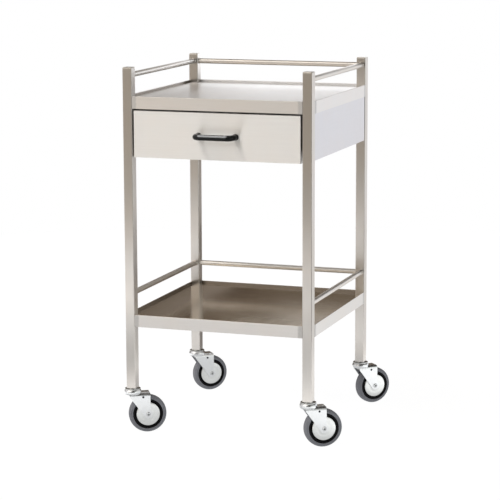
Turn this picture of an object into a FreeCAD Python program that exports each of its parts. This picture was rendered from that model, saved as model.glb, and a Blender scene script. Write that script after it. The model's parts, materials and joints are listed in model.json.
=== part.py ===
import math
import os

import FreeCAD
import Part
import Sketcher

# Instrument cart: a square stainless steel frame with two trays, guard rails on
# three sides, one drawer on telescopic runners and four swivel castors.
# Millimetres. +X is the cart's right, +Y its back, +Z up, z = 0 is the floor.

DIMENSIONS = [
    # frame of square tube
    ("centre_x", -28.3),
    ("centre_y", -7.15),
    ("frame_width", 510.0),
    ("frame_depth", 510.0),
    ("post_size", 25.4),
    ("post_wall", 1.2),
    ("post_corner", 1.8),
    ("post_bottom", 121.0),
    ("post_top", 961.0),
    ("cap_height", 4.0),
    ("cap_dome", 2.6),
    ("cap_spigot", 12.0),
    ("cap_clearance", 0.15),
    # folded trays
    ("upper_tray_top", 891.0),
    ("lower_tray_top", 319.0),
    ("tray_height", 32.0),
    ("tray_recess", 7.0),
    ("tray_sheet", 1.2),
    ("tray_rim", 3.0),
    ("tray_return", 12.0),
    ("rim_radius", 1.2),
    # guard rails of round tube
    ("upper_rail_height", 944.0),
    ("lower_rail_height", 373.0),
    ("rail_diameter", 14.0),
    ("rail_wall", 1.2),
    # drawer housing
    ("panel_sheet", 1.2),
    ("panel_bottom", 740.0),
    ("panel_top", 878.0),
    ("panel_lip", 14.0),
    ("panel_gap", 4.0),
    ("bar_thickness", 3.0),
    ("bar_height", 40.0),
    # telescopic runners
    ("runner_height", 785.0),
    ("runner_sheet", 1.2),
    ("outer_half", 22.9),
    ("outer_depth", 9.7),
    ("outer_start", 26.0),
    ("outer_length", 450.0),
    ("middle_half", 20.7),
    ("middle_lip", 2.6),
    ("middle_depth", 7.6),
    ("middle_set", 2.4),
    ("middle_start", 26.0),
    ("middle_length", 434.0),
    ("inner_half", 16.5),
    ("inner_depth", 7.6),
    ("inner_start", 22.0),
    ("inner_length", 440.0),
    ("runner_thickness", 12.7),
    # drawer
    ("front_gap", 5.0),
    ("front_bottom", 734.0),
    ("front_height", 120.0),
    ("front_depth", 18.0),
    ("front_sheet", 1.2),
    ("box_bottom", 742.0),
    ("box_height", 94.0),
    ("box_length", 437.0),
    ("box_sheet", 1.2),
    ("box_corner", 2.0),
    # bow handle
    ("handle_offset", 2.5),
    ("handle_height", 795.5),
    ("handle_spacing", 100.0),
    ("handle_reach", 35.0),
    ("handle_bar", 7.5),
    ("handle_bend", 15.0),
    ("foot_radius", 8.3),
    ("foot_height", 2.5),
    ("screw_radius", 2.0),
    ("screw_hole", 2.3),
    ("screw_thread_hole", 2.05),
    ("screw_depth", 10.0),
    ("screw_head_radius", 4.0),
    ("screw_head_height", 2.4),
    # castors
    ("wheel_radius", 50.0),
    ("trail", 38.3),
    ("swivel_front_left", 30.0),
    ("swivel_front_right", 33.0),
    ("swivel_back_left", 42.0),
    ("swivel_back_right", 45.0),
    ("pin_radius", 6.0),
    ("pin_head_radius", 9.0),
    ("pin_head_bottom", 98.0),
    ("pin_head_top", 103.2),
    ("running_clearance", 0.05),
    ("race_radius", 20.5),
    ("race_bottom", 117.3),
    ("race_top", 119.3),
    ("stem_radius", 11.2),
    ("stem_top", 168.0),
    ("stem_chamfer", 2.5),
    ("bowl_foot_radius", 20.2),
    ("bowl_top_radius", 19.6),
    ("bowl_bulge", 10.0),
    ("bowl_top", 117.0),
    ("crown_bottom", 103.5),
    ("arch_inside", 107.0),
    ("crown_top", 109.5),
    ("fork_inside", 15.3),
    ("fork_outside", 17.8),
    ("fork_nose", -11.0),
    ("fork_nose_height", 98.0),
    ("fork_shin", 28.8),
    ("fork_shin_height", 43.5),
    ("fork_heel", 44.0),
    ("fork_heel_height", 60.0),
    ("fork_eye_radius", 11.5),
    ("fork_bend", 10.0),
    ("fork_bend_inside", 7.5),
    ("heel_round", 4.0),
    ("brake_hole_x", 25.0),
    ("brake_hole_z", 96.6),
    ("brake_hole_radius", 3.0),
    ("axle_radius", 4.0),
    ("axle_head_radius", 6.0),
    ("axle_head_height", 2.4),
    ("axle_hollow_radius", 3.0),
    ("axle_hollow_depth", 6.0),
    ("guard_radius", 31.3),
    ("guard_inside", 13.6),
    ("guard_outside", 14.8),
    ("guard_boss_radius", 10.0),
    ("hub_radius", 39.75),
    ("hub_half", 12.0),
    ("hub_rim_inside", 33.0),
    ("hub_web_half", 4.0),
    ("hub_boss_radius", 13.0),
    ("hub_boss_half", 13.3),
    ("tyre_half", 13.2),
    ("tyre_shoulder", 5.5),
]

doc = FreeCAD.newDocument("instrument_cart")
sheet = doc.addObject("Spreadsheet::Sheet", "dims")
for row, (alias, value) in enumerate(DIMENSIONS, start=1):
    sheet.set("A%d" % row, alias)
    sheet.set("B%d" % row, "%g" % value)
    sheet.setAlias("B%d" % row, alias)
doc.recompute()

HALF_X = "(dims.frame_width / 2)"
HALF_Y = "(dims.frame_depth / 2)"
INNER_X = "(dims.frame_width / 2 - dims.post_size)"
INNER_Y = "(dims.frame_depth / 2 - dims.post_size)"
STEM_X = "(dims.frame_width / 2 - dims.post_size / 2)"
STEM_Y = "(dims.frame_depth / 2 - dims.post_size / 2)"
AXIS_Z = FreeCAD.Vector(0, 0, 1)

nodes = []


def number(owner, expression):
    return float(owner.evalExpression(expression))


def new_body(label, x="0", y="0", z="0", turn="0"):
    """A body in the cart's frame; x and y count from the middle of the frame."""
    body = doc.addObject("PartDesign::Body", label)
    body.Label = label
    body.Placement = FreeCAD.Placement(FreeCAD.Vector(), FreeCAD.Rotation(AXIS_Z, 1))
    body.setExpression(".Placement.Base.x", "dims.centre_x + " + x)
    body.setExpression(".Placement.Base.y", "dims.centre_y + " + y)
    body.setExpression(".Placement.Base.z", z)
    body.setExpression(".Placement.Rotation.Angle", turn)
    nodes.append(body)
    return body


def origin_feature(body, role):
    for feature in body.Origin.OriginFeatures:
        if feature.Role == role:
            return feature
    raise ValueError("no origin feature " + role)


def new_sketch(body, name, role, offset="0"):
    """A sketch on an origin plane of its body, raised along the plane's normal."""
    sketch = body.newObject("Sketcher::SketchObject", body.Label + "_" + name)
    sketch.AttachmentSupport = [(origin_feature(body, role), "")]
    sketch.MapMode = "FlatFace"
    sketch.setExpression(".AttachmentOffset.Base.z", offset)
    return sketch


def hold(sketch, geometry, point, kind, expression):
    """Hold one coordinate of a sketch point at a value from the sheet."""
    value = number(sketch, expression)
    axis = -2 if kind == "DistanceX" else -1
    if abs(value) < 1e-7:
        sketch.addConstraint(Sketcher.Constraint("PointOnObject", geometry, point, axis))
        return
    if value > 0:
        constraint = Sketcher.Constraint(kind, -1, 1, geometry, point, value)
        index = sketch.addConstraint(constraint)
        sketch.setExpression("Constraints[%d]" % index, expression)
        return
    constraint = Sketcher.Constraint(kind, geometry, point, -1, 1, -value)
    index = sketch.addConstraint(constraint)
    sketch.setExpression("Constraints[%d]" % index, "-(%s)" % expression)


def bulged_side(start, end, size):
    """An arc from start to end that bulges to the right of the way between them."""
    half = (end - start) * 0.5
    left = FreeCAD.Vector(-half.y, half.x, 0) / half.Length
    centre = start + half + left * math.sqrt(size * size - half.Length * half.Length)
    first_angle = math.atan2(start.y - centre.y, start.x - centre.x)
    last_angle = math.atan2(end.y - centre.y, end.x - centre.x)
    return Part.ArcOfCircle(Part.Circle(centre, AXIS_Z, size), first_angle, last_angle)


def polygon(sketch, corners, bulges=()):
    """A closed outline whose corners are pairs of expressions.

    bulges gives the radius of each side that is an arc instead of a line.
    """
    bulges = dict(bulges)
    first = sketch.GeometryCount
    count = len(corners)
    points = []
    for x, y in corners:
        points.append(FreeCAD.Vector(number(sketch, x), number(sketch, y), 0))
    for index in range(count):
        start, end = points[index], points[(index + 1) % count]
        if index in bulges:
            side = bulged_side(start, end, number(sketch, bulges[index]))
        else:
            side = Part.LineSegment(start, end)
        sketch.addGeometry(side, False)
    for index in range(count):
        following = first + (index + 1) % count
        sketch.addConstraint(Sketcher.Constraint("Coincident", first + index, 2, following, 1))
    for index, (x, y) in enumerate(corners):
        hold(sketch, first + index, 1, "DistanceX", x)
        hold(sketch, first + index, 1, "DistanceY", y)
    for index, radius in bulges.items():
        size = number(sketch, radius)
        constraint = sketch.addConstraint(Sketcher.Constraint("Radius", first + index, size))
        sketch.setExpression("Constraints[%d]" % constraint, radius)


def rectangle(sketch, low_x, low_y, high_x, high_y):
    polygon(sketch, [(low_x, low_y), (high_x, low_y), (high_x, high_y), (low_x, high_y)])


def circle(sketch, x, y, radius):
    centre = FreeCAD.Vector(number(sketch, x), number(sketch, y), 0)
    size = number(sketch, radius)
    index = sketch.addGeometry(Part.Circle(centre, AXIS_Z, size), False)
    hold(sketch, index, 3, "DistanceX", x)
    hold(sketch, index, 3, "DistanceY", y)
    constraint = sketch.addConstraint(Sketcher.Constraint("Radius", index, size))
    sketch.setExpression("Constraints[%d]" % constraint, radius)


def extrude(kind, body, sketch, length, side="One side", reverse=False):
    name = sketch.Label.rsplit("_", 1)[1] + "_" + kind.lower()
    feature = body.newObject("PartDesign::" + kind, body.Label + "_" + name)
    feature.Profile = sketch
    feature.SideType = side
    feature.Reversed = reverse
    feature.setExpression("Length", length)
    return feature


def pad(body, sketch, length, side="One side", reverse=False):
    return extrude("Pad", body, sketch, length, side, reverse)


def pocket(body, sketch, length, side="One side", reverse=False):
    return extrude("Pocket", body, sketch, length, side, reverse)


def revolve(body, sketch, axis="V_Axis"):
    feature = body.newObject("PartDesign::Revolution", sketch.Label + "_turned")
    feature.Profile = sketch
    feature.ReferenceAxis = (sketch, [axis])
    feature.Angle = 360
    return feature


def round_edges(body, name, radius, wanted):
    """Fillet every edge of the finished shape whose end points pass the test."""
    doc.recompute()
    base = body.Tip
    chosen = []
    for index, edge in enumerate(base.Shape.Edges, start=1):
        if len(edge.Vertexes) == 2 and wanted(edge.Vertexes[0].Point, edge.Vertexes[1].Point):
            chosen.append("Edge%d" % index)
    feature = body.newObject("PartDesign::Fillet", body.Label + "_" + name)
    feature.Base = (base, chosen)
    feature.setExpression("Radius", radius)
    return feature


def upright(a, b):
    return abs(a.x - b.x) < 0.01 and abs(a.y - b.y) < 0.01


# ---------------------------------------------------------------- frame posts

CORNERS = [
    ("front_left", -1, -1),
    ("front_right", 1, -1),
    ("back_left", -1, 1),
    ("back_right", 1, 1),
]


def corner_post(name, side_x, side_y):
    """Square tube, open at both ends."""
    x = "%d * %s" % (side_x, STEM_X)
    y = "%d * %s" % (side_y, STEM_Y)
    body = new_body("post_" + name, x, y, "dims.post_bottom")
    half = "dims.post_size / 2"
    outline = new_sketch(body, "outline", "XY_Plane")
    rectangle(outline, "-" + half, "-" + half, half, half)
    pad(body, outline, "dims.post_top - dims.post_bottom")
    round_edges(body, "corners", "dims.post_corner", upright)
    bore_half = "(dims.post_size / 2 - dims.post_wall)"
    bore = new_sketch(body, "bore", "XY_Plane")
    rectangle(bore, "-" + bore_half, "-" + bore_half, bore_half, bore_half)
    pocket(body, bore, "dims.post_top - dims.post_bottom", reverse=True)


def post_cap(name, side_x, side_y):
    """Pillow-shaped cap with a spigot inside the tube."""
    x = "%d * %s" % (side_x, STEM_X)
    y = "%d * %s" % (side_y, STEM_Y)
    body = new_body("post_cap_" + name, x, y, "dims.post_top")
    half = "dims.post_size / 2"
    outline = new_sketch(body, "outline", "XY_Plane")
    rectangle(outline, "-" + half, "-" + half, half, half)
    pad(body, outline, "dims.cap_height")
    round_edges(body, "corners", "dims.post_corner", upright)
    round_edges(body, "dome", "dims.cap_dome", lambda a, b: min(a.z, b.z) > 3.9)
    inside = "(dims.post_size / 2 - dims.post_wall - dims.cap_clearance)"
    spigot = new_sketch(body, "spigot", "XY_Plane")
    rectangle(spigot, "-" + inside, "-" + inside, inside, inside)
    pad(body, spigot, "dims.cap_spigot", reverse=True)


for corner_name, corner_x, corner_y in CORNERS:
    corner_post(corner_name, corner_x, corner_y)
    post_cap(corner_name, corner_x, corner_y)


# ---------------------------------------------------------------------- trays

def notched_outline(sketch, half_x, half_y):
    """A rectangle with a square notch at each corner for the post."""
    corners = []
    for sign_x, sign_y, x_first in ((1, -1, True), (1, 1, False), (-1, 1, True), (-1, -1, False)):
        wide = ("%d * %s" % (sign_x, half_x), "%d * %s" % (sign_y, INNER_Y))
        inner = ("%d * %s" % (sign_x, INNER_X), "%d * %s" % (sign_y, INNER_Y))
        deep = ("%d * %s" % (sign_x, INNER_X), "%d * %s" % (sign_y, half_y))
        corners += [deep, inner, wide] if x_first else [wide, inner, deep]
    polygon(sketch, corners)


def tray(label, top, has_return):
    """Folded tray: raised rim, skirt on all four sides, open underneath."""
    body = new_body(label, z=top + " - dims.tray_height")
    outline = new_sketch(body, "outline", "XY_Plane")
    notched_outline(outline, HALF_X, HALF_Y)
    pad(body, outline, "dims.tray_height")
    recess = new_sketch(body, "recess", "XY_Plane", "dims.tray_height")
    notched_outline(recess, "(%s - dims.tray_rim)" % HALF_X, "(%s - dims.tray_rim)" % HALF_Y)
    pocket(body, recess, "dims.tray_recess")
    hollow_start = "dims.tray_sheet" if has_return else "0"
    hollow = new_sketch(body, "hollow", "XY_Plane", hollow_start)
    notched_outline(hollow, "(%s - dims.tray_sheet)" % HALF_X, "(%s - dims.tray_sheet)" % HALF_Y)
    depth = "dims.tray_height - dims.tray_recess - dims.tray_sheet - " + hollow_start
    pocket(body, hollow, depth, reverse=True)
    if has_return:
        opening = new_sketch(body, "opening", "XY_Plane")
        notched_outline(opening, "(%s - dims.tray_return)" % HALF_X, "(%s - dims.tray_return)" % HALF_Y)
        pocket(body, opening, "dims.tray_sheet", reverse=True)
    round_edges(body, "rim", "dims.rim_radius", lambda a, b: min(a.z, b.z) > 31.9 and (a - b).Length > 100)


tray("upper_tray", "dims.upper_tray_top", False)
tray("lower_tray", "dims.lower_tray_top", True)


# ---------------------------------------------------------------- guard rails

def guard_rail(label, x, y, height, plane, length):
    """Round tube butted between two posts."""
    body = new_body(label, x, y, height)
    section = new_sketch(body, "section", plane)
    circle(section, "0", "0", "dims.rail_diameter / 2")
    circle(section, "0", "0", "dims.rail_diameter / 2 - dims.rail_wall")
    pad(body, section, length, side="Symmetric")


for level in ("upper", "lower"):
    rail_height = "dims.%s_rail_height" % level
    guard_rail(level + "_rail_left", "-1 * " + STEM_X, "0", rail_height, "XZ_Plane", "2 * " + INNER_Y)
    guard_rail(level + "_rail_right", STEM_X, "0", rail_height, "XZ_Plane", "2 * " + INNER_Y)
    guard_rail(level + "_rail_back", "0", STEM_Y, rail_height, "YZ_Plane", "2 * " + INNER_X)


# ------------------------------------------------------------- drawer housing

def lipped_panel(label, plane, side, half, start, length):
    """Sheet panel hung inside the tray's skirt, with a lip turned in at the bottom."""
    body = new_body(label)
    outer = "%d * (%s - dims.tray_sheet)" % (side, half)
    inner = "%d * (%s - dims.tray_sheet - dims.panel_sheet)" % (side, half)
    lip = "%d * (%s - dims.tray_sheet - dims.panel_sheet - dims.panel_lip)" % (side, half)
    lip_top = "dims.panel_bottom + dims.panel_sheet"
    section = new_sketch(body, "section", plane, start)
    polygon(section, [
        (outer, "dims.panel_bottom"),
        (outer, "dims.panel_top"),
        (inner, "dims.panel_top"),
        (inner, lip_top),
        (lip, lip_top),
        (lip, "dims.panel_bottom"),
    ])
    pad(body, section, length)


side_length = "2 * %s - dims.panel_gap" % INNER_Y
lipped_panel("side_panel_left", "XZ_Plane", -1, HALF_X, "dims.panel_gap - " + INNER_Y, side_length)
lipped_panel("side_panel_right", "XZ_Plane", 1, HALF_X, "dims.panel_gap - " + INNER_Y, side_length)
lipped_panel("back_panel", "YZ_Plane", 1, HALF_Y, "-1 * " + INNER_X, "2 * " + INNER_X)


def runner_bar(label, side):
    """Flat bar welded between the posts, which carries the runner."""
    body = new_body(label)
    near = "%d * %s" % (side, INNER_X)
    far = "%d * (%s + dims.bar_thickness)" % (side, INNER_X)
    low = "dims.runner_height - dims.bar_height / 2"
    high = "dims.runner_height + dims.bar_height / 2"
    section = new_sketch(body, "section", "XZ_Plane")
    rectangle(section, near, low, far, high)
    pad(body, section, "2 * " + INNER_Y, side="Symmetric")


def channel(label, side, web_out, web_in, tip, half, lip, start, length):
    """One telescopic runner member: a channel of folded steel."""
    body = new_body(label)
    back = "%d * (%s)" % (side, web_out)
    front = "%d * (%s)" % (side, web_in)
    edge = "%d * (%s)" % (side, tip)
    section = new_sketch(body, "section", "XZ_Plane", "%s - %s - %s" % (HALF_Y, start, length))
    high = "dims.runner_height + " + half
    low = "dims.runner_height - " + half
    polygon(section, [
        (back, low),
        (edge, low),
        (edge, "%s + %s" % (low, lip)),
        (front, "%s + %s" % (low, lip)),
        (front, "%s - %s" % (high, lip)),
        (edge, "%s - %s" % (high, lip)),
        (edge, high),
        (back, high),
    ])
    pad(body, section, length)


for side_name, side_sign in (("left", -1), ("right", 1)):
    runner_bar("runner_bar_" + side_name, side_sign)
    channel(
        "runner_outer_" + side_name, side_sign, INNER_X, INNER_X + " - dims.runner_sheet",
        INNER_X + " - dims.outer_depth", "dims.outer_half", "dims.runner_sheet",
        "dims.outer_start", "dims.outer_length")
    middle_web = INNER_X + " - dims.middle_set"
    channel(
        "runner_middle_" + side_name, side_sign, middle_web, middle_web + " - dims.runner_sheet",
        middle_web + " - dims.middle_depth", "dims.middle_half", "dims.middle_lip",
        "dims.middle_start", "dims.middle_length")
    inner_web = INNER_X + " - dims.runner_thickness"
    channel(
        "runner_inner_" + side_name, side_sign, inner_web, inner_web + " + dims.runner_sheet",
        inner_web + " + dims.inner_depth", "dims.inner_half", "dims.runner_sheet",
        "dims.inner_start", "dims.inner_length")


# --------------------------------------------------------------------- drawer

def drawer_front():
    """Pan-shaped front, folded back on all four sides and open behind."""
    body = new_body("drawer_front", z="dims.front_bottom")
    half = "(%s - dims.front_gap)" % INNER_X
    outline = new_sketch(body, "outline", "XZ_Plane", HALF_Y)
    rectangle(outline, "-" + half, "0", half, "dims.front_height")
    pad(body, outline, "dims.front_depth", reverse=True)
    inside = "(%s - dims.front_gap - dims.front_sheet)" % INNER_X
    hollow = new_sketch(body, "hollow", "XZ_Plane", HALF_Y + " - dims.front_sheet")
    rectangle(hollow, "-" + inside, "dims.front_sheet", inside, "dims.front_height - dims.front_sheet")
    pocket(body, hollow, "dims.front_depth")
    handle_holes(body, "dims.handle_height - dims.front_bottom", HALF_Y, "dims.front_sheet")


def handle_holes(body, height, start, depth):
    holes = new_sketch(body, "holes", "XZ_Plane", start)
    for sign in (-1, 1):
        x = "dims.handle_offset + %d * dims.handle_spacing / 2" % sign
        circle(holes, x, height, "dims.screw_hole")
    pocket(body, holes, depth)


def drawer_box():
    """Open-topped box behind the front."""
    body = new_body("drawer_box", z="dims.box_bottom")
    half = "(%s - dims.runner_thickness)" % INNER_X
    front = "dims.front_depth - " + HALF_Y
    back = "dims.front_depth + dims.box_length - " + HALF_Y
    outline = new_sketch(body, "outline", "XY_Plane")
    rectangle(outline, "-" + half, front, half, back)
    pad(body, outline, "dims.box_height")
    round_edges(body, "corners", "dims.box_corner", upright)
    inside = "(%s - dims.runner_thickness - dims.box_sheet)" % INNER_X
    hollow = new_sketch(body, "hollow", "XY_Plane", "dims.box_height")
    rectangle(hollow, "-" + inside, front + " + dims.box_sheet", inside, back + " - dims.box_sheet")
    pocket(body, hollow, "dims.box_height - dims.box_sheet")
    start = HALF_Y + " - dims.front_depth"
    handle_holes(body, "dims.handle_height - dims.box_bottom", start, "dims.box_sheet")


drawer_front()
drawer_box()


def drawer_handle():
    """Bow handle of round bar with a low collar at each foot."""
    body = new_body("drawer_handle", "dims.handle_offset", "-1 * " + HALF_Y, "dims.handle_height")
    half = number(sheet, "dims.handle_spacing") / 2
    reach = number(sheet, "dims.handle_reach")
    bend = number(sheet, "dims.handle_bend")
    path = new_sketch(body, "path", "XY_Plane")
    left = Part.LineSegment(FreeCAD.Vector(-half, 0, 0), FreeCAD.Vector(-half, bend - reach, 0))
    bar = Part.LineSegment(FreeCAD.Vector(bend - half, -reach, 0), FreeCAD.Vector(half - bend, -reach, 0))
    right = Part.LineSegment(FreeCAD.Vector(half, bend - reach, 0), FreeCAD.Vector(half, 0, 0))
    left_arc = Part.Circle(FreeCAD.Vector(bend - half, bend - reach, 0), AXIS_Z, bend)
    right_arc = Part.Circle(FreeCAD.Vector(half - bend, bend - reach, 0), AXIS_Z, bend)
    quarter = 1.5707963
    path.addGeometry(left, False)
    path.addGeometry(Part.ArcOfCircle(left_arc, 2 * quarter, 3 * quarter), False)
    path.addGeometry(bar, False)
    path.addGeometry(Part.ArcOfCircle(right_arc, 3 * quarter, 4 * quarter), False)
    path.addGeometry(right, False)
    path.addConstraint(Sketcher.Constraint("Tangent", 0, 2, 1, 1))
    path.addConstraint(Sketcher.Constraint("Tangent", 1, 2, 2, 1))
    path.addConstraint(Sketcher.Constraint("Tangent", 2, 2, 3, 1))
    path.addConstraint(Sketcher.Constraint("Tangent", 3, 2, 4, 1))
    path.addConstraint(Sketcher.Constraint("Vertical", 0))
    path.addConstraint(Sketcher.Constraint("Horizontal", 2))
    path.addConstraint(Sketcher.Constraint("Vertical", 4))
    hold(path, 0, 1, "DistanceX", "-dims.handle_spacing / 2")
    hold(path, 0, 1, "DistanceY", "0")
    hold(path, 4, 2, "DistanceX", "dims.handle_spacing / 2")
    hold(path, 4, 2, "DistanceY", "0")
    hold(path, 2, 1, "DistanceY", "-dims.handle_reach")
    for arc in (1, 3):
        index = path.addConstraint(Sketcher.Constraint("Radius", arc, bend))
        path.setExpression("Constraints[%d]" % index, "dims.handle_bend")
    feet = new_sketch(body, "feet", "XZ_Plane")
    for sign in (-1, 1):
        circle(feet, "%d * dims.handle_spacing / 2" % sign, "0", "dims.foot_radius")
    section = new_sketch(body, "section", "XZ_Plane")
    circle(section, "-dims.handle_spacing / 2", "0", "dims.handle_bar")
    bow = body.newObject("PartDesign::AdditivePipe", "drawer_handle_bow")
    bow.Profile = section
    bow.Spine = path
    bow.Transition = "Transformed"
    pad(body, feet, "dims.foot_height")
    holes = new_sketch(body, "threads", "XZ_Plane")
    for sign in (-1, 1):
        circle(holes, "%d * dims.handle_spacing / 2" % sign, "0", "dims.screw_thread_hole")
    pocket(body, holes, "dims.screw_depth", reverse=True)


drawer_handle()


def handle_screw(label, sign):
    """Pan-head screw put in from inside the drawer."""
    x = "dims.handle_offset + %d * dims.handle_spacing / 2" % sign
    y = "dims.front_depth + dims.box_sheet - " + HALF_Y
    body = new_body(label, x, y, "dims.handle_height")
    shank = new_sketch(body, "shank", "XZ_Plane")
    circle(shank, "0", "0", "dims.screw_radius")
    pad(body, shank, "dims.front_depth + dims.box_sheet + dims.screw_depth - 1")
    head = new_sketch(body, "head", "XZ_Plane")
    circle(head, "0", "0", "dims.screw_head_radius")
    pad(body, head, "dims.screw_head_height", reverse=True)


handle_screw("handle_screw_left", -1)
handle_screw("handle_screw_right", 1)


# -------------------------------------------------------------------- castors

def castor_stem(name, x, y, turn):
    """King pin, collar and the plug that grips inside the post."""
    body = new_body(name + "_stem", x, y, "0", turn)
    profile = new_sketch(body, "profile", "XZ_Plane")
    polygon(profile, [
        ("0", "dims.pin_head_bottom"),
        ("dims.pin_head_radius", "dims.pin_head_bottom"),
        ("dims.pin_head_radius", "dims.pin_head_top"),
        ("dims.pin_radius", "dims.pin_head_top"),
        ("dims.pin_radius", "dims.race_bottom"),
        ("dims.race_radius", "dims.race_bottom"),
        ("dims.race_radius", "dims.race_top"),
        ("dims.post_size / 2", "dims.race_top"),
        ("dims.post_size / 2", "dims.post_bottom"),
        ("dims.stem_radius", "dims.post_bottom"),
        ("dims.stem_radius", "dims.stem_top - dims.stem_chamfer"),
        ("dims.stem_radius - dims.stem_chamfer", "dims.stem_top"),
        ("0", "dims.stem_top"),
    ])
    revolve(body, profile)


def castor_fork(name, x, y, turn):
    """Pressed fork, arched over the wheel, under a swivel bowl."""
    body = new_body(name + "_fork", x, y, "0", turn)
    legs = new_sketch(body, "legs", "XZ_Plane")
    polygon(legs, [
        ("dims.fork_nose", "dims.crown_top"),
        ("dims.fork_nose", "dims.fork_nose_height"),
        ("dims.fork_shin", "dims.fork_shin_height"),
        ("dims.trail", "dims.wheel_radius"),
        ("dims.fork_heel", "dims.fork_heel_height"),
        ("dims.fork_heel", "dims.crown_top"),
    ])
    pad(body, legs, "2 * dims.fork_outside", side="Symmetric")
    eyes = new_sketch(body, "eyes", "XZ_Plane")
    circle(eyes, "dims.trail", "dims.wheel_radius", "dims.fork_eye_radius")
    pad(body, eyes, "2 * dims.fork_outside", side="Symmetric")
    round_edges(
        body, "bend", "dims.fork_bend",
        lambda a, b: min(a.z, b.z) > number(sheet, "dims.crown_top") - 0.1 and abs(a.y - b.y) < 0.01)
    inside = new_sketch(body, "inside", "YZ_Plane")
    outline = [("-dims.fork_inside", "0"), ("dims.fork_inside", "0")]
    for side, angles in ((1, (0, 22.5, 45, 67.5, 90)), (-1, (90, 67.5, 45, 22.5, 0))):
        for angle in angles:
            across = "dims.fork_inside - dims.fork_bend_inside * (1 - cos(%g))" % angle
            height = "dims.arch_inside - dims.fork_bend_inside * (1 - sin(%g))" % angle
            outline.append(("%d * (%s)" % (side, across), height))
    polygon(inside, outline)
    pocket(body, inside, "4 * dims.wheel_radius", side="Symmetric")
    heel = new_sketch(body, "heel", "XZ_Plane")
    corner = [
        ("dims.fork_heel + 1", "dims.crown_top + 1"),
        ("dims.fork_heel - dims.heel_round", "dims.crown_top + 1"),
    ]
    for angle in (90, 67.5, 45, 22.5, 0):
        along = "dims.fork_heel - dims.heel_round * (1 - cos(%g))" % angle
        height = "dims.crown_top - dims.heel_round * (1 - sin(%g))" % angle
        corner.append((along, height))
    corner.append(("dims.fork_heel + 1", "dims.crown_top - dims.heel_round"))
    polygon(heel, corner)
    pocket(body, heel, "3 * dims.fork_outside", side="Symmetric")
    bowl = new_sketch(body, "bowl", "XZ_Plane")
    outline = [
        ("0", "dims.crown_bottom"),
        ("dims.bowl_foot_radius", "dims.crown_bottom"),
        ("dims.bowl_top_radius", "dims.bowl_top"),
        ("0", "dims.bowl_top"),
    ]
    polygon(bowl, outline, bulges={1: "dims.bowl_bulge"})
    revolve(body, bowl)
    holes = new_sketch(body, "holes", "XZ_Plane")
    circle(holes, "dims.trail", "dims.wheel_radius", "dims.axle_radius")
    circle(holes, "dims.brake_hole_x", "dims.brake_hole_z", "dims.brake_hole_radius")
    pocket(body, holes, "3 * dims.fork_outside", side="Symmetric")
    bore = new_sketch(body, "bore", "XY_Plane")
    circle(bore, "0", "0", "dims.pin_radius + dims.running_clearance")
    pocket(body, bore, "dims.bowl_top", reverse=True)


def castor_axle(name, x, y, turn):
    """Tubular rivet through both fork legs."""
    body = new_body(name + "_axle", x, y, "dims.wheel_radius", turn)
    end = "(dims.fork_outside + dims.axle_head_height)"
    hollow_end = "(dims.fork_outside + dims.axle_head_height - dims.axle_hollow_depth)"
    profile = new_sketch(body, "profile", "XY_Plane")
    polygon(profile, [
        ("0", "-" + hollow_end),
        ("dims.axle_hollow_radius", "-" + hollow_end),
        ("dims.axle_hollow_radius", "-" + end),
        ("dims.axle_head_radius - 1", "-" + end),
        ("dims.axle_head_radius", "-dims.fork_outside - 1"),
        ("dims.axle_head_radius", "-dims.fork_outside"),
        ("dims.axle_radius", "-dims.fork_outside"),
        ("dims.axle_radius", "dims.fork_outside"),
        ("dims.axle_head_radius", "dims.fork_outside"),
        ("dims.axle_head_radius", "dims.fork_outside + 1"),
        ("dims.axle_head_radius - 1", end),
        ("dims.axle_hollow_radius", end),
        ("dims.axle_hollow_radius", hollow_end),
        ("0", hollow_end),
    ])
    revolve(body, profile)


def castor_guards(name, x, y, turn):
    """Two dished thread guards between the wheel and the fork legs."""
    body = new_body(name + "_guards", x, y, "dims.wheel_radius", turn)
    body.AllowCompound = True
    for side, sign in (("near", -1), ("far", 1)):
        profile = new_sketch(body, side, "XY_Plane")
        inner = "%d * dims.guard_inside" % sign
        outer = "%d * dims.guard_outside" % sign
        boss = "%d * dims.fork_inside" % sign
        polygon(profile, [
            ("dims.axle_radius", inner),
            ("dims.guard_radius - 2", inner),
            ("dims.guard_radius", "%d * (dims.guard_inside - 1)" % sign),
            ("dims.guard_radius + 0.6", "%d * (dims.guard_inside - 0.2)" % sign),
            ("dims.guard_radius - 2", outer),
            ("dims.guard_boss_radius + 1", outer),
            ("dims.guard_boss_radius", boss),
            ("dims.axle_radius", boss),
        ])
        revolve(body, profile)


def castor_hub(name, x, y, turn):
    """Moulded wheel centre: rim, web and plain bearing boss."""
    body = new_body(name + "_hub", x, y, "dims.wheel_radius", turn)
    bore = "dims.axle_radius + dims.running_clearance"
    profile = new_sketch(body, "profile", "XY_Plane")
    half = [
        (bore, "dims.hub_boss_half"),
        ("dims.hub_boss_radius - 3", "dims.hub_boss_half"),
        ("dims.hub_boss_radius", "dims.hub_web_half"),
        ("dims.hub_rim_inside", "dims.hub_web_half"),
        ("dims.hub_rim_inside", "dims.hub_half - 1"),
        ("dims.hub_rim_inside + 1", "dims.hub_half"),
        ("dims.hub_radius", "dims.hub_half"),
    ]
    other_half = [(radius, "-(%s)" % width) for radius, width in reversed(half)]
    polygon(profile, half + other_half)
    revolve(body, profile)


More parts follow.
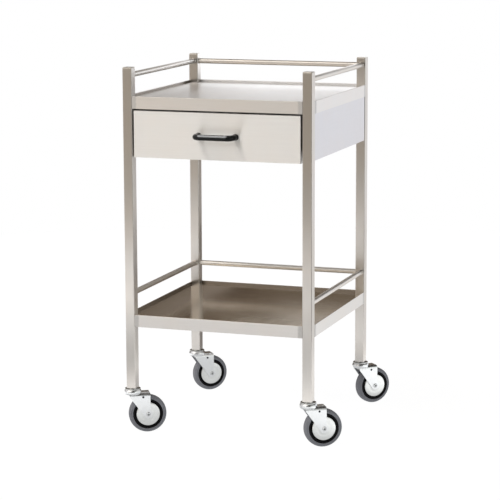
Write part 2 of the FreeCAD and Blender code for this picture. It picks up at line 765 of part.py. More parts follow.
def castor_tyre(name, x, y, turn):
    """Grey rubber tyre with rounded shoulders."""
    body = new_body(name + "_tyre", x, y, "dims.wheel_radius", turn)
    profile = new_sketch(body, "profile", "XY_Plane")
    rectangle(profile, "dims.hub_radius", "-dims.tyre_half", "dims.wheel_radius", "dims.tyre_half")
    revolve(body, profile)
    doc.recompute()
    base = body.Tip
    rims = []
    for index, edge in enumerate(base.Shape.Edges, start=1):
        if isinstance(edge.Curve, Part.Circle) and edge.Curve.Radius > number(sheet, "dims.hub_radius") + 1:
            rims.append("Edge%d" % index)
    shoulders = body.newObject("PartDesign::Fillet", name + "_tyre_shoulders")
    shoulders.Base = (base, rims)
    shoulders.setExpression("Radius", "dims.tyre_shoulder")


for corner_name, corner_x, corner_y in CORNERS:
    castor_name = "castor_" + corner_name
    swivel = "dims.swivel_" + corner_name
    pin_x = "%d * %s" % (corner_x, STEM_X)
    pin_y = "%d * %s" % (corner_y, STEM_Y)
    axle_x = "%s + dims.trail * cos(%s)" % (pin_x, swivel)
    axle_y = "%s + dims.trail * sin(%s)" % (pin_y, swivel)
    castor_stem(castor_name, pin_x, pin_y, swivel)
    castor_fork(castor_name, pin_x, pin_y, swivel)
    castor_axle(castor_name, axle_x, axle_y, swivel)
    castor_guards(castor_name, axle_x, axle_y, swivel)
    castor_hub(castor_name, axle_x, axle_y, swivel)
    castor_tyre(castor_name, axle_x, axle_y, swivel)


# --------------------------------------------------------------------- output

doc.recompute()

faults = []
for item in doc.Objects:
    if "Invalid" in item.State or "Error" in item.State:
        faults.append("%s is %s" % (item.Label, item.State))
for node in nodes:
    if node.Shape.isNull() or not node.Shape.isValid() or not node.Shape.Solids:
        faults.append(node.Label + " has no valid solid")
if faults:
    raise RuntimeError("; ".join(faults))

os.makedirs("parts", exist_ok=True)
for node in nodes:
    node.Shape.exportStep(os.path.join("parts", node.Label + ".step"))
print("wrote %d parts" % len(nodes))
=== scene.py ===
import json
import math

import bmesh
import bpy
from mathutils import Matrix, Vector


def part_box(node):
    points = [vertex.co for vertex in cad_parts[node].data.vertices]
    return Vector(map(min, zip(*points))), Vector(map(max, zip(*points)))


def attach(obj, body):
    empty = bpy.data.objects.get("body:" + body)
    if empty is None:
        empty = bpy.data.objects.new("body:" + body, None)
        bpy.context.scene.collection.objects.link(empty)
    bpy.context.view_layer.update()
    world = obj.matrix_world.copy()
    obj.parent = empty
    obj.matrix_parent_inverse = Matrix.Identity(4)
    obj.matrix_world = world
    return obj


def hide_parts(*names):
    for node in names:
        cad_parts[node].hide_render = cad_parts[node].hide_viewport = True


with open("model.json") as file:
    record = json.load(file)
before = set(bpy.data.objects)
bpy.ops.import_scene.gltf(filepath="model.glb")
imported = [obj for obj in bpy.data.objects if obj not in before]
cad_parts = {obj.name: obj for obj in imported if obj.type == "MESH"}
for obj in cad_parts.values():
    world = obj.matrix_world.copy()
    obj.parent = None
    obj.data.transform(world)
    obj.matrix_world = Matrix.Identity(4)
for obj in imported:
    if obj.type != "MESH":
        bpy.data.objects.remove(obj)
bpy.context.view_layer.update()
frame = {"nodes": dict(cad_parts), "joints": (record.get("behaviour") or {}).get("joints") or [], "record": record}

MM = 0.001
NODES = frame["nodes"]
CORNERS = ("front_left", "front_right", "back_left", "back_right")
X_AXIS = (1.0, 0.0, 0.0)
Y_AXIS = (0.0, 1.0, 0.0)
Z_AXIS = (0.0, 0.0, 1.0)
TO_FRONT = (0.0, -1.0, 0.0)


# ------------------------------------------------------------ where things are

def middle(node):
    """The middle of a node's box at rest."""
    low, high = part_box(node)
    return (low + high) / 2


post_boxes = [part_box("post_" + corner) for corner in CORNERS]
FRAME_LOW = Vector([min(box[0][axis] for box in post_boxes) for axis in range(3)])
FRAME_HIGH = Vector([max(box[1][axis] for box in post_boxes) for axis in range(3)])
CENTRE = Vector(((FRAME_LOW.x + FRAME_HIGH.x) / 2, (FRAME_LOW.y + FRAME_HIGH.y) / 2, 0))
POST_SIDE = post_boxes[0][1].x - post_boxes[0][0].x
JOINTS = {joint["name"]: joint for joint in frame["joints"]}


# ------------------------------------------------------------- node tree helper

# the cosine above which a surface counts as looking along an axis
SQUARE_ON = 0.6


class Tree:
    """Short calls for building a shader node tree."""

    def __init__(self, owner):
        owner.use_nodes = True
        self.nodes = owner.node_tree.nodes
        self.links = owner.node_tree.links
        self.nodes.clear()

    def node(self, kind, inputs=None, **settings):
        made = self.nodes.new(kind)
        for name, value in settings.items():
            setattr(made, name, value)
        for name, value in (inputs or {}).items():
            self.feed(made.inputs[name], value)
        return made

    def feed(self, socket, value):
        """Link a socket to another node's output, or set it to a plain value."""
        if isinstance(value, bpy.types.NodeSocket):
            self.links.new(value, socket)
        else:
            socket.default_value = value

    def place(self):
        """The shaded point, in the cart's own frame."""
        return self.node("ShaderNodeTexCoord").outputs["Object"]

    def split(self, vector):
        return self.node("ShaderNodeSeparateXYZ", {0: vector}).outputs

    def joined(self, x, y, z=0.0):
        return self.node("ShaderNodeCombineXYZ", {"X": x, "Y": y, "Z": z}).outputs[0]

    def math(self, operation, *values):
        made = self.node("ShaderNodeMath", operation=operation)
        for index, value in enumerate(values):
            self.feed(made.inputs[index], value)
        return made.outputs[0]

    def product(self, *factors):
        result = factors[0]
        for factor in factors[1:]:
            result = self.math("MULTIPLY", result, factor)
        return result

    def vector(self, operation, *values):
        made = self.node("ShaderNodeVectorMath", operation=operation)
        for index, value in enumerate(values):
            self.feed(made.inputs[index], value)
        return made.outputs["Value"] if operation == "DOT_PRODUCT" else made.outputs[0]

    def scaled(self, vector, factors):
        return self.vector("MULTIPLY", vector, factors)

    def looks(self, normal, axis, either_way=False):
        """One where a surface looks along the axis, or either way along it, and zero elsewhere."""
        cosine = self.vector("DOT_PRODUCT", normal, axis)
        if either_way:
            cosine = self.math("ABSOLUTE", cosine)
        return self.math("GREATER_THAN", cosine, SQUARE_ON)

    def range(self, value, low, high, from_value, to_value, shape="LINEAR"):
        """A value between low and high becomes one between from_value and to_value."""
        made = self.node("ShaderNodeMapRange", interpolation_type=shape)
        for index, number in enumerate((value, low, high, from_value, to_value)):
            self.feed(made.inputs[index], number)
        return made.outputs[0]

    def step(self, value, low, high, from_value=0.0, to_value=1.0):
        """As range, with soft ends."""
        return self.range(value, low, high, from_value, to_value, "SMOOTHSTEP")

    def soft_band(self, value, low, high, blur):
        """One between low and high, falling smoothly to zero outside."""
        rising = self.step(value, low - blur, low + blur)
        falling = self.step(value, high - blur, high + blur, 1.0, 0.0)
        return self.product(rising, falling)

    def mix(self, factor, first, second):
        """The first colour at zero, the second at one; sockets 6 and 7 are the node's pair of colours."""
        return self.node("ShaderNodeMix", {0: factor, 6: first, 7: second}, data_type="RGBA").outputs[2]

    def ramp(self, factor, stops):
        """A colour that runs straight from stop to stop, each a place from 0 to 1 and a colour."""
        made = self.node("ShaderNodeValToRGB", {0: factor})
        made.color_ramp.interpolation = "LINEAR"
        elements = made.color_ramp.elements
        while len(elements) < len(stops):
            elements.new(0.5)
        for element, (place, colour) in zip(elements, stops):
            element.position = place
            element.color = (*colour, 1)
        return made.outputs[0]

    def noise(self, vector, scale, detail, rough=0.5):
        return self.node("ShaderNodeTexNoise", {
            "Vector": vector, "Scale": scale, "Detail": detail, "Roughness": rough}).outputs[0]

    def bump(self, height, strength, depth):
        """Surface normals from a height, where depth is in millimetres."""
        return self.node("ShaderNodeBump", {
            "Strength": strength, "Distance": depth * MM, "Height": height}).outputs[0]

    def for_camera(self, unseen, seen):
        """One shader for the camera's own rays, and another for all other rays."""
        camera_ray = self.node("ShaderNodeLightPath").outputs["Is Camera Ray"]
        return self.node("ShaderNodeMixShader", {0: camera_ray, 1: unseen, 2: seen}).outputs[0]


def new_material(name):
    material = bpy.data.materials.new(name)
    return material, Tree(material)


def finish_material(tree, shader):
    tree.node("ShaderNodeOutputMaterial", {"Surface": shader})


def tinted(colour, *factors):
    """A colour with its channels scaled by one factor or by three, as far as full brightness."""
    if len(factors) == 1:
        factors = factors * 3
    return (*(min(1.0, channel * factor) for channel, factor in zip(colour, factors)), 1)


# ------------------------------------------------------------------- materials

# noise scale along and across the polishing lines
COARSE_LINES = (5.0, 260.0)
FINE_LINES = (20.0, 1500.0)

# painted shade for the trays' rims on their inner faces, and painted light for the upper tray's back rim
SHADED_RIM = (0.30, 0.265, 0.23, 1)
PAINTED_LIGHT_RIM = (0.95, 0.95, 0.96, 1)


def line_scale(tree, side, along, across):
    """The noise scales that draw lines: upright where side is None, else level round the cart."""
    if side is None:
        return (across, across, along)
    spread = across - along
    scale_x = tree.math("MULTIPLY_ADD", side, spread, along)
    scale_y = tree.math("MULTIPLY_ADD", tree.math("SUBTRACT", 1.0, side), spread, along)
    return tree.joined(scale_x, scale_y, across)


def brushed_steel(name, colour, roughness, upright=False, anisotropy=0.90, depth=0.008,
                  dullness=0.04, marks=None):
    """Satin stainless steel with polishing lines that run upright, or level round the cart."""
    material, tree = new_material(name)
    place = tree.place()
    normal = tree.node("ShaderNodeNewGeometry").outputs["True Normal"]
    if upright:
        side = None
        direction = Z_AXIS
    else:
        side = tree.looks(normal, X_AXIS, either_way=True)
        direction = tree.joined(tree.math("SUBTRACT", 1.0, side), side)
    lines = tree.noise(tree.scaled(place, line_scale(tree, side, *COARSE_LINES)), 1.0, 4.0, 0.62)
    hair = tree.noise(tree.scaled(place, line_scale(tree, side, *FINE_LINES)), 1.0, 2.0, 0.6)
    polish = tree.math("ADD", tree.product(lines, 0.6), tree.product(hair, 0.4))
    cloud = tree.noise(place, 9.0, 3.0, 0.55)
    smudges = tree.noise(place, 34.0, 4.0, 0.6)
    tone = tree.mix(tree.range(polish, 0.32, 0.68, 0.0, 1.0), tinted(colour, 0.97), tinted(colour, 1.021))
    tone = tree.mix(tree.range(cloud, 0.35, 0.7, 0.0, 0.6), tone, tinted(colour, 1.02, 0.985, 0.955))
    rough = tree.math("ADD", roughness - 0.02, tree.range(polish, 0.3, 0.7, 0.0, 0.04))
    rough = tree.math("ADD", rough, tree.range(smudges, 0.4, 0.75, 0.0, 0.03))
    metallic = 1.0 - dullness
    if marks:
        tone, rough, metallic = marks(tree, place, normal, colour, tone, rough, metallic)
    shader = tree.node("ShaderNodeBsdfPrincipled", {
        "Base Color": tone,
        "Metallic": metallic,
        "Roughness": rough,
        "Anisotropic": anisotropy,
        "Tangent": tree.vector("CROSS_PRODUCT", normal, direction),
        "Normal": tree.bump(polish, 0.35, depth),
    })
    finish_material(tree, shader.outputs[0])
    return material


def dressed_ends(tree, place, normal, colour, tone, rough):
    """Darker strips with a ragged edge, where the skirts were ground down beside the posts."""
    x, y, _ = tree.split(place)
    reach = (FRAME_HIGH.x - FRAME_LOW.x) / 2 - POST_SIDE
    ragged = tree.product(tree.noise(place, 160.0, 2.0), 5 * MM)

    def strip(coordinate, centre):
        off_centre = tree.math("ABSOLUTE", tree.math("SUBTRACT", coordinate, centre))
        return tree.step(tree.math("ADD", off_centre, ragged), reach - 12 * MM, reach - 6 * MM)

    on_fronts = tree.product(strip(x, CENTRE.x), tree.looks(normal, Y_AXIS, either_way=True))
    on_sides = tree.product(strip(y, CENTRE.y), tree.looks(normal, X_AXIS, either_way=True))
    dressed = tree.math("MAXIMUM", on_fronts, on_sides)
    tone = tree.mix(dressed, tone, tinted(colour, 0.76))
    rough = tree.math("ADD", rough, tree.product(dressed, 0.07))
    return tone, rough


def inner_faces(tree, place, normal):
    """One on the upright faces of a tray that look towards its middle, zero elsewhere."""
    outward = tree.vector("DOT_PRODUCT", normal, tree.vector("SUBTRACT", place, tuple(CENTRE)))
    upright = tree.math("MAXIMUM", tree.looks(normal, X_AXIS, either_way=True),
                        tree.looks(normal, Y_AXIS, either_way=True))
    return tree.product(upright, tree.math("LESS_THAN", outward, 0.0))


def upper_tray_marks(tree, place, normal, colour, tone, rough, metallic):
    """Dressed skirt ends, and a rim with painted light inside at the back and painted shade inside at the left."""
    tone, rough = dressed_ends(tree, place, normal, colour, tone, rough)
    inner = inner_faces(tree, place, normal)
    # painted light: the back rim's inner face is made paler and less metallic
    painted_light_back_rim = tree.product(inner, tree.looks(normal, TO_FRONT))
    tone = tree.mix(painted_light_back_rim, tone, PAINTED_LIGHT_RIM)
    metallic = tree.math("SUBTRACT", metallic, tree.product(painted_light_back_rim, 0.60))
    # painted shade on the left rim's inner face
    tone = tree.mix(tree.product(inner, tree.looks(normal, X_AXIS)), tone, SHADED_RIM)
    return tone, rough, metallic


def lower_tray_marks(tree, place, normal, colour, tone, rough, metallic):
    """Dressed skirt ends, painted shade on the rim's inner faces, a smooth floor toned browner and darker as
    painted shade, and a streaky painted pool of light near its front right corner.
    """
    tone, rough = dressed_ends(tree, place, normal, colour, tone, rough)
    # painted shade on all the rim's inner faces
    tone = tree.mix(inner_faces(tree, place, normal), tone, SHADED_RIM)
    floor = tree.looks(normal, Z_AXIS)
    # painted shade: the floor under the drawer is toned browner and darker
    tone = tree.mix(floor, tone, tinted(colour, 0.98, 0.90, 0.78))
    rough = tree.math("SUBTRACT", rough, tree.product(floor, 0.16))
    # painted light: near the front right corner the floor turns less metallic in streaks, so it catches the lights
    # as a pool of light
    x, y, _ = tree.split(place)
    near_front = tree.step(tree.math("SUBTRACT", y, FRAME_LOW.y), 0.03, 0.20, 1.0, 0.0)
    at_right = tree.step(tree.math("SUBTRACT", x, CENTRE.x), -0.06, 0.08)
    streaks = tree.noise(tree.scaled(place, (26.0, 5.0, 1.0)), 1.0, 2.0)
    painted_light_patch = tree.product(near_front, at_right, tree.range(streaks, 0.35, 0.65, 0.7, 1.0), floor)
    metallic = tree.math("SUBTRACT", metallic, tree.product(painted_light_patch, 0.70))
    return tone, rough, metallic


def plated_steel(name, colour, roughness):
    """Bright zinc plate: fine grain, faint clouding, small marks."""
    material, tree = new_material(name)
    place = tree.place()
    grain = tree.noise(place, 900.0, 4.0, 0.65)
    cloud = tree.noise(place, 60.0, 4.0, 0.6)
    marks = tree.noise(tree.scaled(place, (700.0, 90.0, 90.0)), 1.0, 3.0, 0.7)
    tone = tree.mix(tree.range(cloud, 0.3, 0.7, 0.0, 1.0), tinted(colour, 0.94), (*colour, 1))
    tone = tree.mix(tree.range(grain, 0.35, 0.65, 0.0, 0.5), tone, tinted(colour, 0.95, 0.98, 1.02))
    rough = tree.math("ADD", roughness, tree.range(grain, 0.3, 0.7, -0.04, 0.06))
    rough = tree.math("ADD", rough, tree.range(marks, 0.55, 0.75, 0.0, 0.10))
    shader = tree.node("ShaderNodeBsdfPrincipled", {
        "Base Color": tone,
        "Metallic": 1.0,
        "Roughness": rough,
        "Normal": tree.bump(grain, 0.3, 0.03),
    })
    finish_material(tree, shader.outputs[0])
    return material


def moulded(name, colour, roughness, grain_scale=1400.0, depth=0.03, dust=0.002, specular=0.5):
    """Moulded plastic or rubber with a fine pebble and a little dust."""
    material, tree = new_material(name)
    place = tree.place()
    pebble = tree.noise(place, grain_scale, 3.0, 0.6)
    cloud = tree.noise(place, 45.0, 4.0, 0.6)
    dusty = (*(channel + dust for channel in colour), 1)
    tone = tree.mix(tree.range(cloud, 0.35, 0.75, 0.0, 1.0), (*colour, 1), dusty)
    tone = tree.mix(tree.range(pebble, 0.3, 0.7, 0.0, 0.35), tone, tinted(colour, 0.8))
    shader = tree.node("ShaderNodeBsdfPrincipled", {
        "Base Color": tone,
        "Roughness": tree.math("ADD", roughness, tree.range(pebble, 0.3, 0.7, -0.05, 0.07)),
        "Specular IOR Level": specular,
        "Normal": tree.bump(pebble, 0.4, depth),
    })
    finish_material(tree, shader.outputs[0])
    return material


MATERIALS = {
    "stainless_tube": brushed_steel("tube_steel", (0.72, 0.69, 0.655), 0.31, upright=True),
    "stainless_cap": brushed_steel("cap_steel", (0.66, 0.63, 0.58), 0.34, anisotropy=0.2),
    "stainless_sheet": brushed_steel(
        "sheet_steel", (0.74, 0.72, 0.70), 0.30, anisotropy=0.70, depth=0.002, dullness=0.02,
        marks=upper_tray_marks),
    "stainless_rail": brushed_steel("rail_steel", (0.76, 0.725, 0.68), 0.34, anisotropy=0.0, depth=0.002),
    "stainless_panel": brushed_steel("panel_steel", (0.675, 0.67, 0.695), 0.32),
    "stainless_bar": brushed_steel("bar_steel", (0.60, 0.60, 0.60), 0.40),
    "stainless_front": brushed_steel("front_steel", (0.85, 0.84, 0.82), 0.42, anisotropy=1.0),
    "stainless_box": brushed_steel("box_steel", (0.68, 0.68, 0.67), 0.36),
    "zinc_runner": plated_steel("runner_zinc", (0.70, 0.71, 0.72), 0.28),
    "zinc_stem": plated_steel("stem_zinc", (0.60, 0.60, 0.58), 0.32),
    "zinc_fork": plated_steel("fork_zinc", (0.92, 0.93, 0.93), 0.30),
    "zinc_axle": plated_steel("axle_zinc", (0.72, 0.73, 0.73), 0.25),
    "guard_plate": plated_steel("guard_zinc", (0.92, 0.93, 0.91), 0.30),
    "screw_steel": plated_steel("screw_zinc", (0.62, 0.62, 0.60), 0.30),
    "black_plastic": moulded(
        "handle_plastic", (0.004, 0.004, 0.004), 0.20, depth=0.006, dust=0.001, specular=0.16),
    "hub_plastic": moulded("hub_plastic", (0.004, 0.004, 0.005), 0.45, specular=0.12),
    "grey_rubber": moulded(
        "tyre_rubber", (0.245, 0.252, 0.280), 0.62, grain_scale=700.0, depth=0.05, dust=0.02, specular=0.35),
}
# nodes whose finish differs a little from the rest of their slot: a rail toned darker as painted shade, and an
# evenly polished tray with its own painted shade and light
OWN_FINISH = {
    "upper_rail_left": brushed_steel(
        "left_rail_steel", (0.67, 0.645, 0.615), 0.34, anisotropy=0.0, depth=0.002),
    "lower_tray": brushed_steel(
        "low_tray_steel", (0.74, 0.72, 0.70), 0.30, anisotropy=0.2, depth=0.002, dullness=0.02,
        marks=lower_tray_marks),
}

slots = {entry["node"]: entry["material_slot"] for entry in frame["record"]["subparts"]}
for node_name, node_object in NODES.items():
    node_object.data.materials.clear()
    node_object.data.materials.append(OWN_FINISH.get(node_name, MATERIALS[slots[node_name]]))


# ------------------------------------------------------------- mesh-made pieces

def turned(name, profile, segments, to_world, smooth_angle):
    """A closed ring turned from a profile of (radius, along-axis) points in millimetres."""
    mesh = bmesh.new()
    rings = []
    for index in range(segments):
        angle = 2 * math.pi * index / segments
        rings.append([
            mesh.verts.new(Vector((radius * math.cos(angle), radius * math.sin(angle), along)) * MM)
            for radius, along in profile])
    count = len(profile)
    for index in range(segments):
        ring, following = rings[index], rings[(index + 1) % segments]
        for place in range(count):
            beyond = (place + 1) % count
            mesh.faces.new((ring[place], following[place], following[beyond], ring[beyond]))
    bmesh.ops.recalc_face_normals(mesh, faces=mesh.faces)
    return finish_piece(name, mesh, to_world, smooth_angle)


def finish_piece(name, mesh, to_world, smooth_angle):
    """Turn a bmesh into an object placed in the cart's frame, smooth but for its creases."""
    mesh.transform(to_world)
    for face in mesh.faces:
        face.smooth = True
    limit = math.radians(smooth_angle)
    for edge in mesh.edges:
        edge.smooth = len(edge.link_faces) == 2 and edge.calc_face_angle(0.0) < limit
    data = bpy.data.meshes.new(name)
    mesh.to_mesh(data)
    mesh.free()
    return add_object(name, data)


def add_object(name, data):
    added = bpy.data.objects.new(name, data)
    bpy.context.scene.collection.objects.link(added)
    return added


def dress(piece, body, slot, *replaced):
    """Give a piece its material slot, the body it rides on and the nodes it stands for."""
    piece.data.materials.append(MATERIALS[slot])
    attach(piece, body)
    if replaced:
        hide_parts(*replaced)


def arc(centre_radius, centre_along, size, start, end, steps):
    """Profile points on a circle, from one angle to another in degrees."""
    points = []
    for index in range(steps + 1):
        angle = math.radians(start + (end - start) * index / steps)
        points.append((centre_radius + size * math.cos(angle), centre_along + size * math.sin(angle)))
    return points


def mirrored(half):
    """The half profile above the middle plane, and the same below it."""
    return half + [(radius, -along) for radius, along in reversed(half)]


def wheel_axes(corner):
    """Local Z along the axle, pointing out of the near fork leg; origin at the wheel's middle."""
    joint = JOINTS["wheel_%s_spin" % corner]
    axle = Vector(joint["axis"]).normalized()
    if axle.y > 0:
        axle = -axle
    upright = Vector(Z_AXIS)
    across = upright.cross(axle)
    turn = Matrix((across, upright, axle)).transposed().to_4x4()
    return Matrix.Translation(Vector(joint["pos_m"])) @ turn


# the wheel, in millimetres
WHEEL = 50.0  # radius of the tread
TYRE_HALF = 13.2  # half the tyre's width
BEAD = 39.75  # radius where the tyre sits on the hub
HUB_HALF = 12.0  # half the width of the hub's rim
WEB_HALF = 4.0  # half the thickness of its web
BORE = 4.05  # radius of the hole for the axle


def build_tyre(corner):
    """Grey rubber tyre: mould line round the tread, soft shoulder, shallow step and a lip at the hub."""
    crown = 0.35
    shoulder = 5.2
    half = [(WHEEL - 0.05, 0.25), (WHEEL, 0.8), (WHEEL - crown, 5.4)]
    half += arc(WHEEL - crown - shoulder, 5.6, shoulder, 8, 62, 8)
    half += [
        (46.6, 11.35), (45.9, 12.0), (45.2, 12.55), (44.6, 12.75),
        (44.3, 12.45), (44.0, 12.42), (43.7, 12.72),
        (42.9, 13.02), (42.0, TYRE_HALF), (41.0, TYRE_HALF), (40.3, 12.95), (39.95, 12.55), (BEAD, 12.1),
        (BEAD, 4.0),
    ]
    mould_line = (WHEEL - 0.25, 0.0)
    tyre = turned("tyre_" + corner, mirrored(half)[::-1] + [mould_line], 144, wheel_axes(corner), 40.0)
    dress(tyre, "wheel_" + corner, "grey_rubber", "castor_%s_tyre" % corner)


def build_hub(corner):
    """Black moulded wheel centre: rim with a rounded flange, web and bearing boss."""
    boss_half = 13.25
    half = [
        (BEAD - 0.05, HUB_HALF - 0.6), (BEAD - 0.25, HUB_HALF - 0.15),
        (BEAD - 0.75, HUB_HALF), (37.6, HUB_HALF), (37.2, HUB_HALF - 0.25), (36.8, HUB_HALF - 0.6),
        (34.6, HUB_HALF - 1.0), (34.1, HUB_HALF - 1.25), (33.7, HUB_HALF - 1.9), (33.0, 6.4),
        (32.4, 4.9), (31.2, 4.1), (29.6, WEB_HALF),
        (15.0, WEB_HALF), (13.9, 4.3), (13.2, 5.0), (11.0, 12.2), (10.6, 12.9), (10.0, boss_half),
        (4.35, boss_half), (BORE, 12.95),
    ]
    hub = turned("hub_" + corner, mirrored(half)[::-1], 96, wheel_axes(corner), 28.0)
    dress(hub, "wheel_" + corner, "hub_plastic", "castor_%s_hub" % corner)


def build_guards(corner):
    """Two pressed zinc discs with a rolled rim, a raised ring and a boss against the fork leg."""
    boss_face = 15.3
    rim = 31.2
    outer = [
        (BORE, boss_face), (9.3, boss_face), (9.9, 15.22), (10.5, 14.95), (11.0, 14.7), (11.7, 14.55),
        (17.6, 14.5), (18.4, 14.52), (19.4, 14.60), (20.4, 14.63), (22.4, 14.63), (23.4, 14.59),
        (24.4, 14.51), (25.2, 14.48), (28.6, 14.45), (29.6, 14.3), (30.4, 13.95), (30.95, 13.45),
        (rim, 12.9), (rim, 12.6),
    ]
    inner = [
        (30.6, 12.55), (30.4, 12.95), (29.9, 13.35), (29.2, 13.58), (28.4, 13.65),
        (25.0, 13.65), (23.4, 13.72), (22.4, 13.78), (20.4, 13.78), (19.4, 13.72), (17.8, 13.65),
        (BORE, 13.65),
    ]
    for side, sign in (("near", 1), ("far", -1)):
        profile = [(radius, sign * along) for radius, along in outer + inner]
        guard = turned("guard_%s_%s" % (corner, side), profile, 96, wheel_axes(corner), 26.0)
        replaced = ["castor_%s_guards" % corner] if side == "near" else []
        dress(guard, "swivel_" + corner, "guard_plate", *replaced)


def build_rail_welds(level, side):
    """The ground-down weld bead round each end of a guard rail."""
    rail = "%s_rail_%s" % (level, side)
    low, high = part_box(rail)
    length = high - low
    along = max(range(3), key=lambda axis: length[axis])
    radius = length.z / 2 / MM
    profile = [
        (radius - 0.3, -0.2), (radius + 1.15, -0.2), (radius + 1.1, 0.25), (radius + 0.85, 0.7),
        (radius + 0.5, 1.1), (radius + 0.2, 1.5), (radius - 0.3, 1.75),
    ]
    for end, sign, limit in (("low", 1, low), ("high", -1, high)):
        place = middle(rail)
        place[along] = limit[along]
        axis = Vector([sign if index == along else 0 for index in range(3)])
        turn = axis.to_track_quat("Z", "Y").to_matrix().to_4x4()
        weld = turned("weld_%s_%s" % (rail, end), profile, 48, Matrix.Translation(place) @ turn, 60.0)
        dress(weld, "frame", "stainless_rail")


# ---------------------------------------------------------------------- studio

# azimuth of the middle, half width, lowest and highest elevation in degrees, colour
LIGHTS = {
    "front_wall": (-35, 22, -90, 15, (0.59, 0.52, 0.43)),
    "front_softbox": (-36, 25, 15, 40, (1.78, 1.76, 1.75)),
    "high_softbox": (-40, 40, 46, 66, (2.30, 2.15, 1.95)),
    "left_wall": (-80, 32, -90, 15, (0.44, 0.42, 0.42)),
    "left_softbox": (-90, 30, 15, 40, (0.75, 0.72, 0.72)),
    "right_wall": (74, 24, -90, 28, (1.10, 1.13, 1.10)),
    "back_wall": (172, 76, -90, 15, (0.95, 0.96, 0.99)),
}
ROOM_GLOW = (0.04, 0.035, 0.03)
WHITE = (1.0, 1.0, 1.0, 1)


def build_world():
    """A dark room with walls in front, behind and to both sides, and softboxes to the front and left."""
    side_blur, edge_blur = 6, 4
    world = bpy.data.worlds.new("studio")
    bpy.context.scene.world = world
    tree = Tree(world)
    direction = tree.node("ShaderNodeTexCoord").outputs["Generated"]
    elevation = tree.product(tree.math("ARCSINE", tree.split(direction)[2]), math.degrees(1))
    level = tree.vector("NORMALIZE", tree.scaled(direction, (1, 1, 0)))
    total = ROOM_GLOW
    for azimuth, half, low, high, colour in LIGHTS.values():
        angle = math.radians(azimuth)
        cosine = tree.vector("DOT_PRODUCT", level, (math.sin(angle), -math.cos(angle), 0))
        off_middle = tree.product(tree.math("ARCCOSINE", cosine), math.degrees(1))
        inside = tree.product(tree.step(off_middle, half - side_blur, half + side_blur, 1.0, 0.0),
                              tree.soft_band(elevation, low, high, edge_blur))
        total = tree.vector("MULTIPLY_ADD", colour, inside, total)
    walls = tree.node("ShaderNodeBackground", {"Color": total}).outputs[0]
    plain = tree.node("ShaderNodeBackground", {"Color": WHITE}).outputs[0]
    tree.node("ShaderNodeOutputWorld", {"Surface": tree.for_camera(walls, plain)})


# in metres: how far the card is behind the cart's middle, its left and right edges, its top
CARD_BEHIND = 0.56
CARD_LEFT, CARD_RIGHT, CARD_TOP = -1.9, 0.26, 1.55

# tones of the card's dim lower part, across its slanted edges
DIM_TONES = [
    (0.18, (0.10, 0.08, 0.06)), (0.25, (0.21, 0.18, 0.15)), (0.36, (0.28, 0.24, 0.21)),
    (0.38, (0.07, 0.05, 0.035)), (0.50, (0.13, 0.10, 0.075)), (0.75, (0.14, 0.11, 0.08)),
]


def build_card():
    """A card behind the cart that only reflections see: dim brown below, bright white above."""
    depth = CENTRE.y + CARD_BEHIND
    corners = [(CARD_LEFT, depth, 0.0), (CARD_RIGHT, depth, 0.0),
               (CARD_RIGHT, depth, CARD_TOP), (CARD_LEFT, depth, CARD_TOP)]
    mesh = bpy.data.meshes.new("card")
    mesh.from_pydata(corners, [], [(0, 1, 2, 3)])
    card = add_object("card", mesh)
    material, tree = new_material("card_paper")
    x, _, z = tree.split(tree.place())
    bright = tree.mix(tree.step(x, -0.56, -0.16), (1.00, 1.00, 1.01, 1), (1.85, 1.90, 1.98, 1))
    bright = tree.mix(tree.step(z, 1.06, 1.18), bright, (0.45, 0.42, 0.39, 1))
    slant = tree.math("ADD", x, tree.product(tree.math("SUBTRACT", z, 0.29), 1.87))
    dim = tree.ramp(tree.range(slant, -0.4, 0.4, 0.0, 1.0), DIM_TONES)
    patch = tree.product(tree.soft_band(z, 0.43, 0.62, 0.015), tree.step(x, -0.22, -0.04))
    dim = tree.mix(patch, dim, (0.42, 0.39, 0.36, 1))
    colour = tree.mix(tree.step(z, 0.82, 0.92), dim, bright)
    finish_material(tree, tree.node("ShaderNodeEmission", {"Color": colour}).outputs[0])
    card.data.materials.append(material)
    card.visible_camera = False
    card.visible_diffuse = False


FLOOR_RADIUS = 3.2
# what the floor throws back: distance from the cart's middle in metres, and glow; the dimmer glow within 0.38 m of
# the middle is a painted shadow of the cart
FLOOR_MIDDLE = [(0.00, 0.63), (0.38, 0.60), (0.46, 1.30), (0.76, 1.30)]
FLOOR_LEFT = FLOOR_MIDDLE + [(0.86, 0.50), (1.42, 0.50), (1.60, 1.50)]
FLOOR_RIGHT = FLOOR_MIDDLE + [(0.86, 0.93), (1.42, 0.90), (1.60, 0.05)]
FLOOR_BACK = FLOOR_MIDDLE + [(0.86, 0.96)]


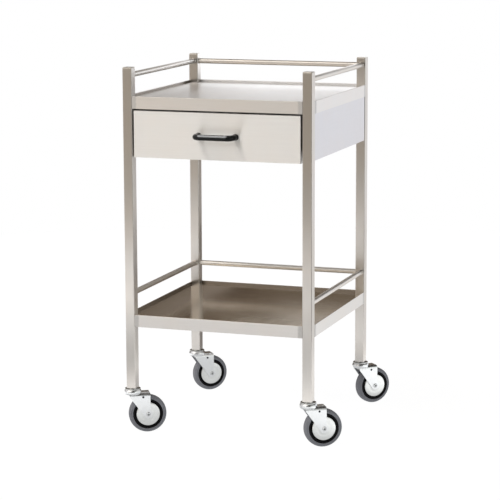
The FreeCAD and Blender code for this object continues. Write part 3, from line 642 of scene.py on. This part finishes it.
def build_floor():
    """A wide pale disc; what it throws back on the cart changes with the distance."""
    segments = 64
    points = [(CENTRE.x, CENTRE.y, 0.0)]
    for index in range(segments):
        angle = 2 * math.pi * index / segments
        edge = CENTRE + FLOOR_RADIUS * Vector((math.cos(angle), math.sin(angle), 0.0))
        points.append(tuple(edge))
    faces = [(0, 1 + index, 1 + (index + 1) % segments) for index in range(segments)]
    mesh = bpy.data.meshes.new("floor")
    mesh.from_pydata(points, [], faces)
    floor = add_object("floor", mesh)
    material, tree = new_material("floor_paper")
    x, y, _ = tree.split(tree.vector("SUBTRACT", tree.place(), tuple(CENTRE)))
    distance = tree.math("MAXIMUM", tree.math("ABSOLUTE", x), tree.math("ABSOLUTE", y))
    share = tree.math("DIVIDE", distance, FLOOR_RADIUS)

    def rings_of(pairs):
        return tree.ramp(share, [(reach / FLOOR_RADIUS, (glow,) * 3) for reach, glow in pairs])

    front = tree.mix(tree.step(x, -0.12, 0.12), rings_of(FLOOR_LEFT), rings_of(FLOOR_RIGHT))
    glow = tree.mix(tree.step(y, 0.2, 0.4), front, rings_of(FLOOR_BACK))
    lit = tree.node("ShaderNodeEmission", {"Color": glow}).outputs[0]
    thin = tree.node("ShaderNodeBsdfDiffuse", {"Color": (0.12, 0.12, 0.12, 1)}).outputs[0]
    pale = tree.node("ShaderNodeEmission", {"Color": WHITE, "Strength": 0.97}).outputs[0]
    shown = tree.node("ShaderNodeAddShader", {0: thin, 1: pale}).outputs[0]
    finish_material(tree, tree.for_camera(lit, shown))
    floor.data.materials.append(material)


def build_handle_light():
    """A strip light above and before the drawer that only the handle catches."""
    distance = 0.6
    data = bpy.data.lights.new("handle_light", "AREA")
    data.shape = "RECTANGLE"
    data.size = 0.34
    data.size_y = 0.85
    data.energy = 22.0
    lamp = add_object("handle_light", data)
    towards = Vector((-0.32, -0.42, 0.85)).normalized()
    sideways = Vector(X_AXIS)
    sideways = (sideways - sideways.dot(towards) * towards).normalized()
    axes = Matrix((sideways, towards.cross(sideways), towards)).transposed().to_4x4()
    lamp.matrix_world = Matrix.Translation(middle("drawer_handle") + distance * towards) @ axes
    lit = bpy.data.collections.new("handle_only")
    lit.objects.link(NODES["drawer_handle"])
    lamp.light_linking.receiver_collection = lit


def build_camera():
    """The main view: from the front, to the right and above the top tray, through a long lens."""
    yaw = math.radians(19.05)
    pitch = math.radians(9.86)
    roll = math.radians(-0.19)
    place = CENTRE + Vector((1769.6, -5118.9, 1402.4)) * MM
    data = bpy.data.cameras.new("camera")
    data.sensor_width = 36.0
    data.lens = 147.66
    data.clip_end = 60.0
    camera = add_object("camera", data)
    right = Vector((math.cos(yaw), math.sin(yaw), 0))
    forward = Vector((-math.sin(yaw) * math.cos(pitch), math.cos(yaw) * math.cos(pitch), -math.sin(pitch)))
    up = right.cross(forward)
    turned_right = math.cos(roll) * right + math.sin(roll) * up
    turned_up = turned_right.cross(forward)
    axes = Matrix((turned_right, turned_up, -forward)).transposed().to_4x4()
    camera.matrix_world = Matrix.Translation(place) @ axes
    bpy.context.scene.camera = camera


for corner_name in CORNERS:
    build_tyre(corner_name)
    build_hub(corner_name)
    build_guards(corner_name)
for level_name in ("upper", "lower"):
    for side_name in ("left", "right", "back"):
        build_rail_welds(level_name, side_name)
build_world()
build_card()
build_floor()
build_handle_light()
build_camera()
bpy.context.scene.view_settings.view_transform = "Standard"
